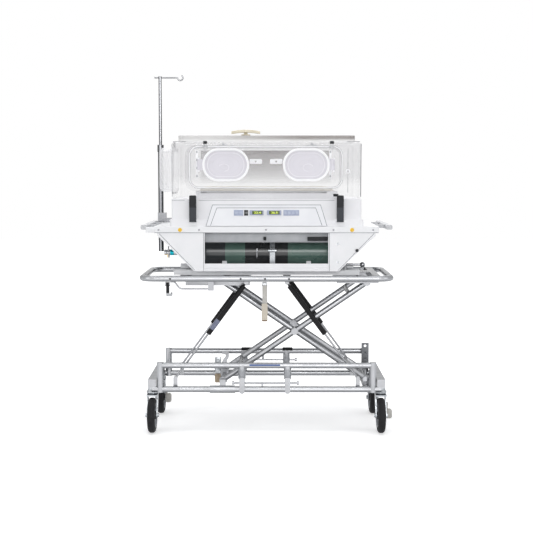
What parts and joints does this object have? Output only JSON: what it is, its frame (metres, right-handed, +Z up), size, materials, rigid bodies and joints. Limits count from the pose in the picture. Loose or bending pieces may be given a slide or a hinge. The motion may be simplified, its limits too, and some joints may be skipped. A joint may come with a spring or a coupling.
{
  "type": "transport infant incubator",
  "caption": "Transport incubator: a clear hood with hand ports over a control housing and gas bay, on a height-adjustable scissor trolley with swivel casters.",
  "frame": {"origin": "on the floor at the middle of the footprint", "axes": "+X to the right seen from the front, +Y towards the rear, +Z up"},
  "size_m": [1.082, 0.55, 1.556],
  "materials": {
    "satin_steel": "satin stainless tube",
    "chrome": "polished",
    "black_rubber": "matt",
    "tyre": "matt tread on a grey rim",
    "black_paint": "semi-gloss",
    "white_paint": "semi-gloss powder coat",
    "white_plastic": "fine matt moulding",
    "panel_plastic": "matt bezel with a blue-violet keypad strip",
    "grey_plastic": "matt",
    "black_plastic": "matt",
    "tan_plastic": "matt grip on a bright lever",
    "blue_plastic": "gloss",
    "grey_hose": "satin",
    "cylinder_green": "gloss paint on aluminium",
    "display_black": "gloss",
    "mattress_cover": "smooth coated cover",
    "clear_plastic": "clear acrylic",
    "ivory_plastic": "matt"
  },
  "bodies": {
    "base": {"base_frame": "satin_steel", "bumper_pads": "black_rubber", "lock_rods": "chrome", "base_pivot_shaft": "chrome"},
    "inner_arms": {"inner_lift_arms": "satin_steel"},
    "outer_arms": {"outer_lift_arms": "satin_steel"},
    "lower_carriage": {"lower_carriage": "satin_steel"},
    "upper_carriage": {"upper_carriage": "chrome"},
    "deck": {"deck_rail": "satin_steel", "deck_frame": "satin_steel", "release_linkage": "chrome", "tray": "white_paint", "side_handles": "grey_plastic", "bay_frame": "white_paint", "bay_cheeks": "white_paint", "gas_cylinder_front": "cylinder_green", "gas_cylinder_rear": "cylinder_green", "regulator": "chrome", "gas_hose": "grey_hose", "cylinder_clamp": "chrome", "housing": "white_plastic", "control_panel": "panel_plastic", "display_windows": "display_black", "mattress_tray": "white_plastic", "mattress": "mattress_cover", "iv_pole": "satin_steel"},
    "left_cylinders": {"left_strut_cylinders": "black_paint"},
    "right_cylinders": {"right_strut_cylinders": "black_paint"},
    "left_rods": {"left_strut_rods": "chrome"},
    "right_rods": {"right_strut_rods": "chrome"},
    "hood": {"hood_shell": "clear_plastic", "roof_panel": "clear_plastic"},
    "front_door": {"front_door": "clear_plastic", "port_rims": "white_plastic"},
    "height_lever": {"height_lever": "tan_plastic"},
    "release_lever": {"release_lever": "black_plastic"},
    "docking_latch": {"docking_latch": "chrome"},
    "regulator_knob": {"regulator_knob": "blue_plastic"},
    "port_door_left": {"port_door_left": "clear_plastic"},
    "port_door_right": {"port_door_right": "clear_plastic"},
    "port_latch_left": {"port_latch_left": "white_plastic"},
    "port_latch_right": {"port_latch_right": "white_plastic"},
    "door_latch_left": {"door_latch_left": "black_plastic"},
    "door_latch_right": {"door_latch_right": "black_plastic"},
    "hood_latch_left": {"hood_latch_left": "black_plastic"},
    "hood_latch_right": {"hood_latch_right": "black_plastic"},
    "head_door": {"head_door": "clear_plastic"},
    "head_door_latch": {"head_door_latch": "black_plastic"},
    "exam_lamp": {"exam_lamp": "ivory_plastic"},
    "iv_pole_upper": {"iv_pole_upper": "chrome"},
    "brake_pedal_fr": {"brake_pedal_fr": "grey_plastic"},
    "brake_pedal_rl": {"brake_pedal_rl": "grey_plastic"},
    "fork_fl": {"caster_fork_fl": "chrome"},
    "wheel_fl": {"caster_wheel_fl": "tyre"},
    "fork_fr": {"caster_fork_fr": "chrome"},
    "wheel_fr": {"caster_wheel_fr": "tyre"},
    "fork_rl": {"caster_fork_rl": "chrome"},
    "wheel_rl": {"caster_wheel_rl": "tyre"},
    "fork_rr": {"caster_fork_rr": "chrome"},
    "wheel_rr": {"caster_wheel_rr": "tyre"}
  },
  "joints": [
    {"name": "lift", "type": "hinge", "parent": "base", "child": "inner_arms", "pos_m": [0.43, 0, 0.22], "axis": [0, -1, 0], "range_deg": [0, 21.4]},
    {"name": "outer_arm_turn", "type": "hinge", "parent": "inner_arms", "child": "outer_arms", "pos_m": [0.12058, 0, 0.43186], "axis": [0, -1, 0], "range_deg": [-42.8, 0]},
    {"name": "deck_level", "type": "hinge", "parent": "outer_arms", "child": "deck", "pos_m": [0.43, 0, 0.64372], "axis": [0, -1, 0], "range_deg": [0, 21.4]},
    {"name": "lower_carriage_level", "type": "hinge", "parent": "outer_arms", "child": "lower_carriage", "pos_m": [-0.18884, 0, 0.22], "axis": [0, -1, 0], "range_deg": [0, 21.4]},
    {"name": "upper_carriage_level", "type": "hinge", "parent": "inner_arms", "child": "upper_carriage", "pos_m": [-0.18884, 0, 0.64372], "axis": [0, -1, 0], "range_deg": [-21.4, 0]},
    {"name": "left_cylinder_turn", "type": "hinge", "parent": "deck", "child": "left_cylinders", "pos_m": [-0.087, 0, 0.64502], "axis": [0, 1, 0], "range_deg": [0, 26.18]},
    {"name": "right_cylinder_turn", "type": "hinge", "parent": "deck", "child": "right_cylinders", "pos_m": [0.087, 0, 0.64502], "axis": [0, -1, 0], "range_deg": [0, 26.18]},
    {"name": "left_rod_slide", "type": "slide", "parent": "left_cylinders", "child": "left_rods", "axis": [0.594, 0, 0.8044], "range_m": [0, 0.17003]},
    {"name": "right_rod_slide", "type": "slide", "parent": "right_cylinders", "child": "right_rods", "axis": [-0.594, 0, 0.8044], "range_m": [0, 0.17003]},
    {"name": "swivel_fl", "type": "hinge", "parent": "base", "child": "fork_fl", "pos_m": [-0.491, -0.17, 0.175], "axis": [0, 0, 1], "continuous": true},
    {"name": "wheel_spin_fl", "type": "hinge", "parent": "fork_fl", "child": "wheel_fl", "pos_m": [-0.491, -0.2, 0.075], "axis": [1, 0, 0], "continuous": true},
    {"name": "swivel_fr", "type": "hinge", "parent": "base", "child": "fork_fr", "pos_m": [0.491, -0.17, 0.175], "axis": [0, 0, 1], "continuous": true},
    {"name": "wheel_spin_fr", "type": "hinge", "parent": "fork_fr", "child": "wheel_fr", "pos_m": [0.491, -0.2, 0.075], "axis": [1, 0, 0], "continuous": true},
    {"name": "swivel_rl", "type": "hinge", "parent": "base", "child": "fork_rl", "pos_m": [-0.491, 0.17, 0.175], "axis": [0, 0, 1], "continuous": true},
    {"name": "wheel_spin_rl", "type": "hinge", "parent": "fork_rl", "child": "wheel_rl", "pos_m": [-0.491, 0.2, 0.075], "axis": [1, 0, 0], "continuous": true},
    {"name": "swivel_rr", "type": "hinge", "parent": "base", "child": "fork_rr", "pos_m": [0.491, 0.17, 0.175], "axis": [0, 0, 1], "continuous": true},
    {"name": "wheel_spin_rr", "type": "hinge", "parent": "fork_rr", "child": "wheel_rr", "pos_m": [0.491, 0.2, 0.075], "axis": [1, 0, 0], "continuous": true},
    {"name": "brake_pedal_fr_press", "type": "hinge", "parent": "fork_fr", "child": "brake_pedal_fr", "pos_m": [0.5183, -0.17, 0.119], "axis": [1, 0, 0], "range_deg": [0, 20]},
    {"name": "brake_pedal_rl_press", "type": "hinge", "parent": "fork_rl", "child": "brake_pedal_rl", "pos_m": [-0.4637, 0.17, 0.119], "axis": [-1, 0, 0], "range_deg": [0, 20]},
    {"name": "height_lever_pull", "type": "hinge", "parent": "deck", "child": "height_lever", "pos_m": [-0.008, -0.237, 0.64433], "axis": [-1, 0, 0], "range_deg": [0, 30]},
    {"name": "release_lever_pull", "type": "hinge", "parent": "deck", "child": "release_lever", "pos_m": [-0.417, -0.237, 0.64433], "axis": [-1, 0, 0], "range_deg": [0, 30]},
    {"name": "docking_latch_turn", "type": "hinge", "parent": "deck", "child": "docking_latch", "pos_m": [0.345, 0, 0.70803], "axis": [0, 0, 1], "range_deg": [0, 40]},
    {"name": "regulator_knob_turn", "type": "hinge", "parent": "deck", "child": "regulator_knob", "pos_m": [-0.388, -0.115, 0.79902], "axis": [0, 0, 1], "range_deg": [0, 270]},
    {"name": "hood_tilt", "type": "hinge", "parent": "deck", "child": "hood", "pos_m": [0, 0.2353, 1.00602], "axis": [-1, 0, 0], "range_deg": [0, 45]},
    {"name": "front_door_drop", "type": "hinge", "parent": "hood", "child": "front_door", "pos_m": [-0.012, -0.2353, 1.03103], "axis": [1, 0, 0], "range_deg": [0, 90]},
    {"name": "port_door_left_open", "type": "hinge", "parent": "front_door", "child": "port_door_left", "pos_m": [-0.285, -0.2476, 1.14532], "axis": [0, 0, -1], "range_deg": [0, 110]},
    {"name": "port_door_right_open", "type": "hinge", "parent": "front_door", "child": "port_door_right", "pos_m": [0.281, -0.2476, 1.14532], "axis": [0, 0, 1], "range_deg": [0, 110]},
    {"name": "port_latch_left_turn", "type": "hinge", "parent": "front_door", "child": "port_latch_left", "pos_m": [-0.0447, -0.2411, 1.15932], "axis": [0, 1, 0], "range_deg": [0, 90]},
    {"name": "port_latch_right_turn", "type": "hinge", "parent": "front_door", "child": "port_latch_right", "pos_m": [0.0407, -0.2411, 1.15932], "axis": [0, -1, 0], "range_deg": [0, 90]},
    {"name": "door_latch_left_turn", "type": "hinge", "parent": "front_door", "child": "door_latch_left", "pos_m": [-0.256, -0.2411, 1.21833], "axis": [0, -1, 0], "range_deg": [0, 90]},
    {"name": "door_latch_right_turn", "type": "hinge", "parent": "front_door", "child": "door_latch_right", "pos_m": [0.273, -0.2411, 1.21833], "axis": [0, 1, 0], "range_deg": [0, 90]},
    {"name": "head_door_drop", "type": "hinge", "parent": "hood", "child": "head_door", "pos_m": [-0.4053, 0, 1.02503], "axis": [0, 1, 0], "range_deg": [-90, 0]},
    {"name": "head_door_latch_turn", "type": "hinge", "parent": "hood", "child": "head_door_latch", "pos_m": [-0.4043, 0, 1.23406], "axis": [1, 0, 0], "range_deg": [0, 90]},
    {"name": "hood_latch_left_release", "type": "hinge", "parent": "deck", "child": "hood_latch_left", "pos_m": [-0.309, -0.2438, 0.91353], "axis": [1, 0, 0], "range_deg": [0, 75]},
    {"name": "hood_latch_right_release", "type": "hinge", "parent": "deck", "child": "hood_latch_right", "pos_m": [0.309, -0.2438, 0.91353], "axis": [1, 0, 0], "range_deg": [0, 75]},
    {"name": "drip_pole_slide", "type": "slide", "parent": "deck", "child": "iv_pole_upper", "axis": [0, 0, 1], "range_m": [-0.21, 0]},
    {"name": "lamp_swivel", "type": "hinge", "parent": "hood", "child": "exam_lamp", "pos_m": [-0.092, 0, 1.27563], "axis": [0, 0, 1], "range_deg": [-90, 90]}
  ],
  "couplings": [
    {"joint": "outer_arm_turn", "follows": "lift", "ratio": -2},
    {"joint": "deck_level", "follows": "lift", "ratio": 1},
    {"joint": "lower_carriage_level", "follows": "lift", "ratio": 1},
    {"joint": "upper_carriage_level", "follows": "lift", "ratio": -1},
    {"joint": "left_cylinder_turn", "follows": "lift", "ratio": 1.2228},
    {"joint": "right_cylinder_turn", "follows": "lift", "ratio": 1.2228},
    {"joint": "left_rod_slide", "follows": "lift", "m_per_rad": 0.45497},
    {"joint": "right_rod_slide", "follows": "lift", "m_per_rad": 0.45497}
  ]
}
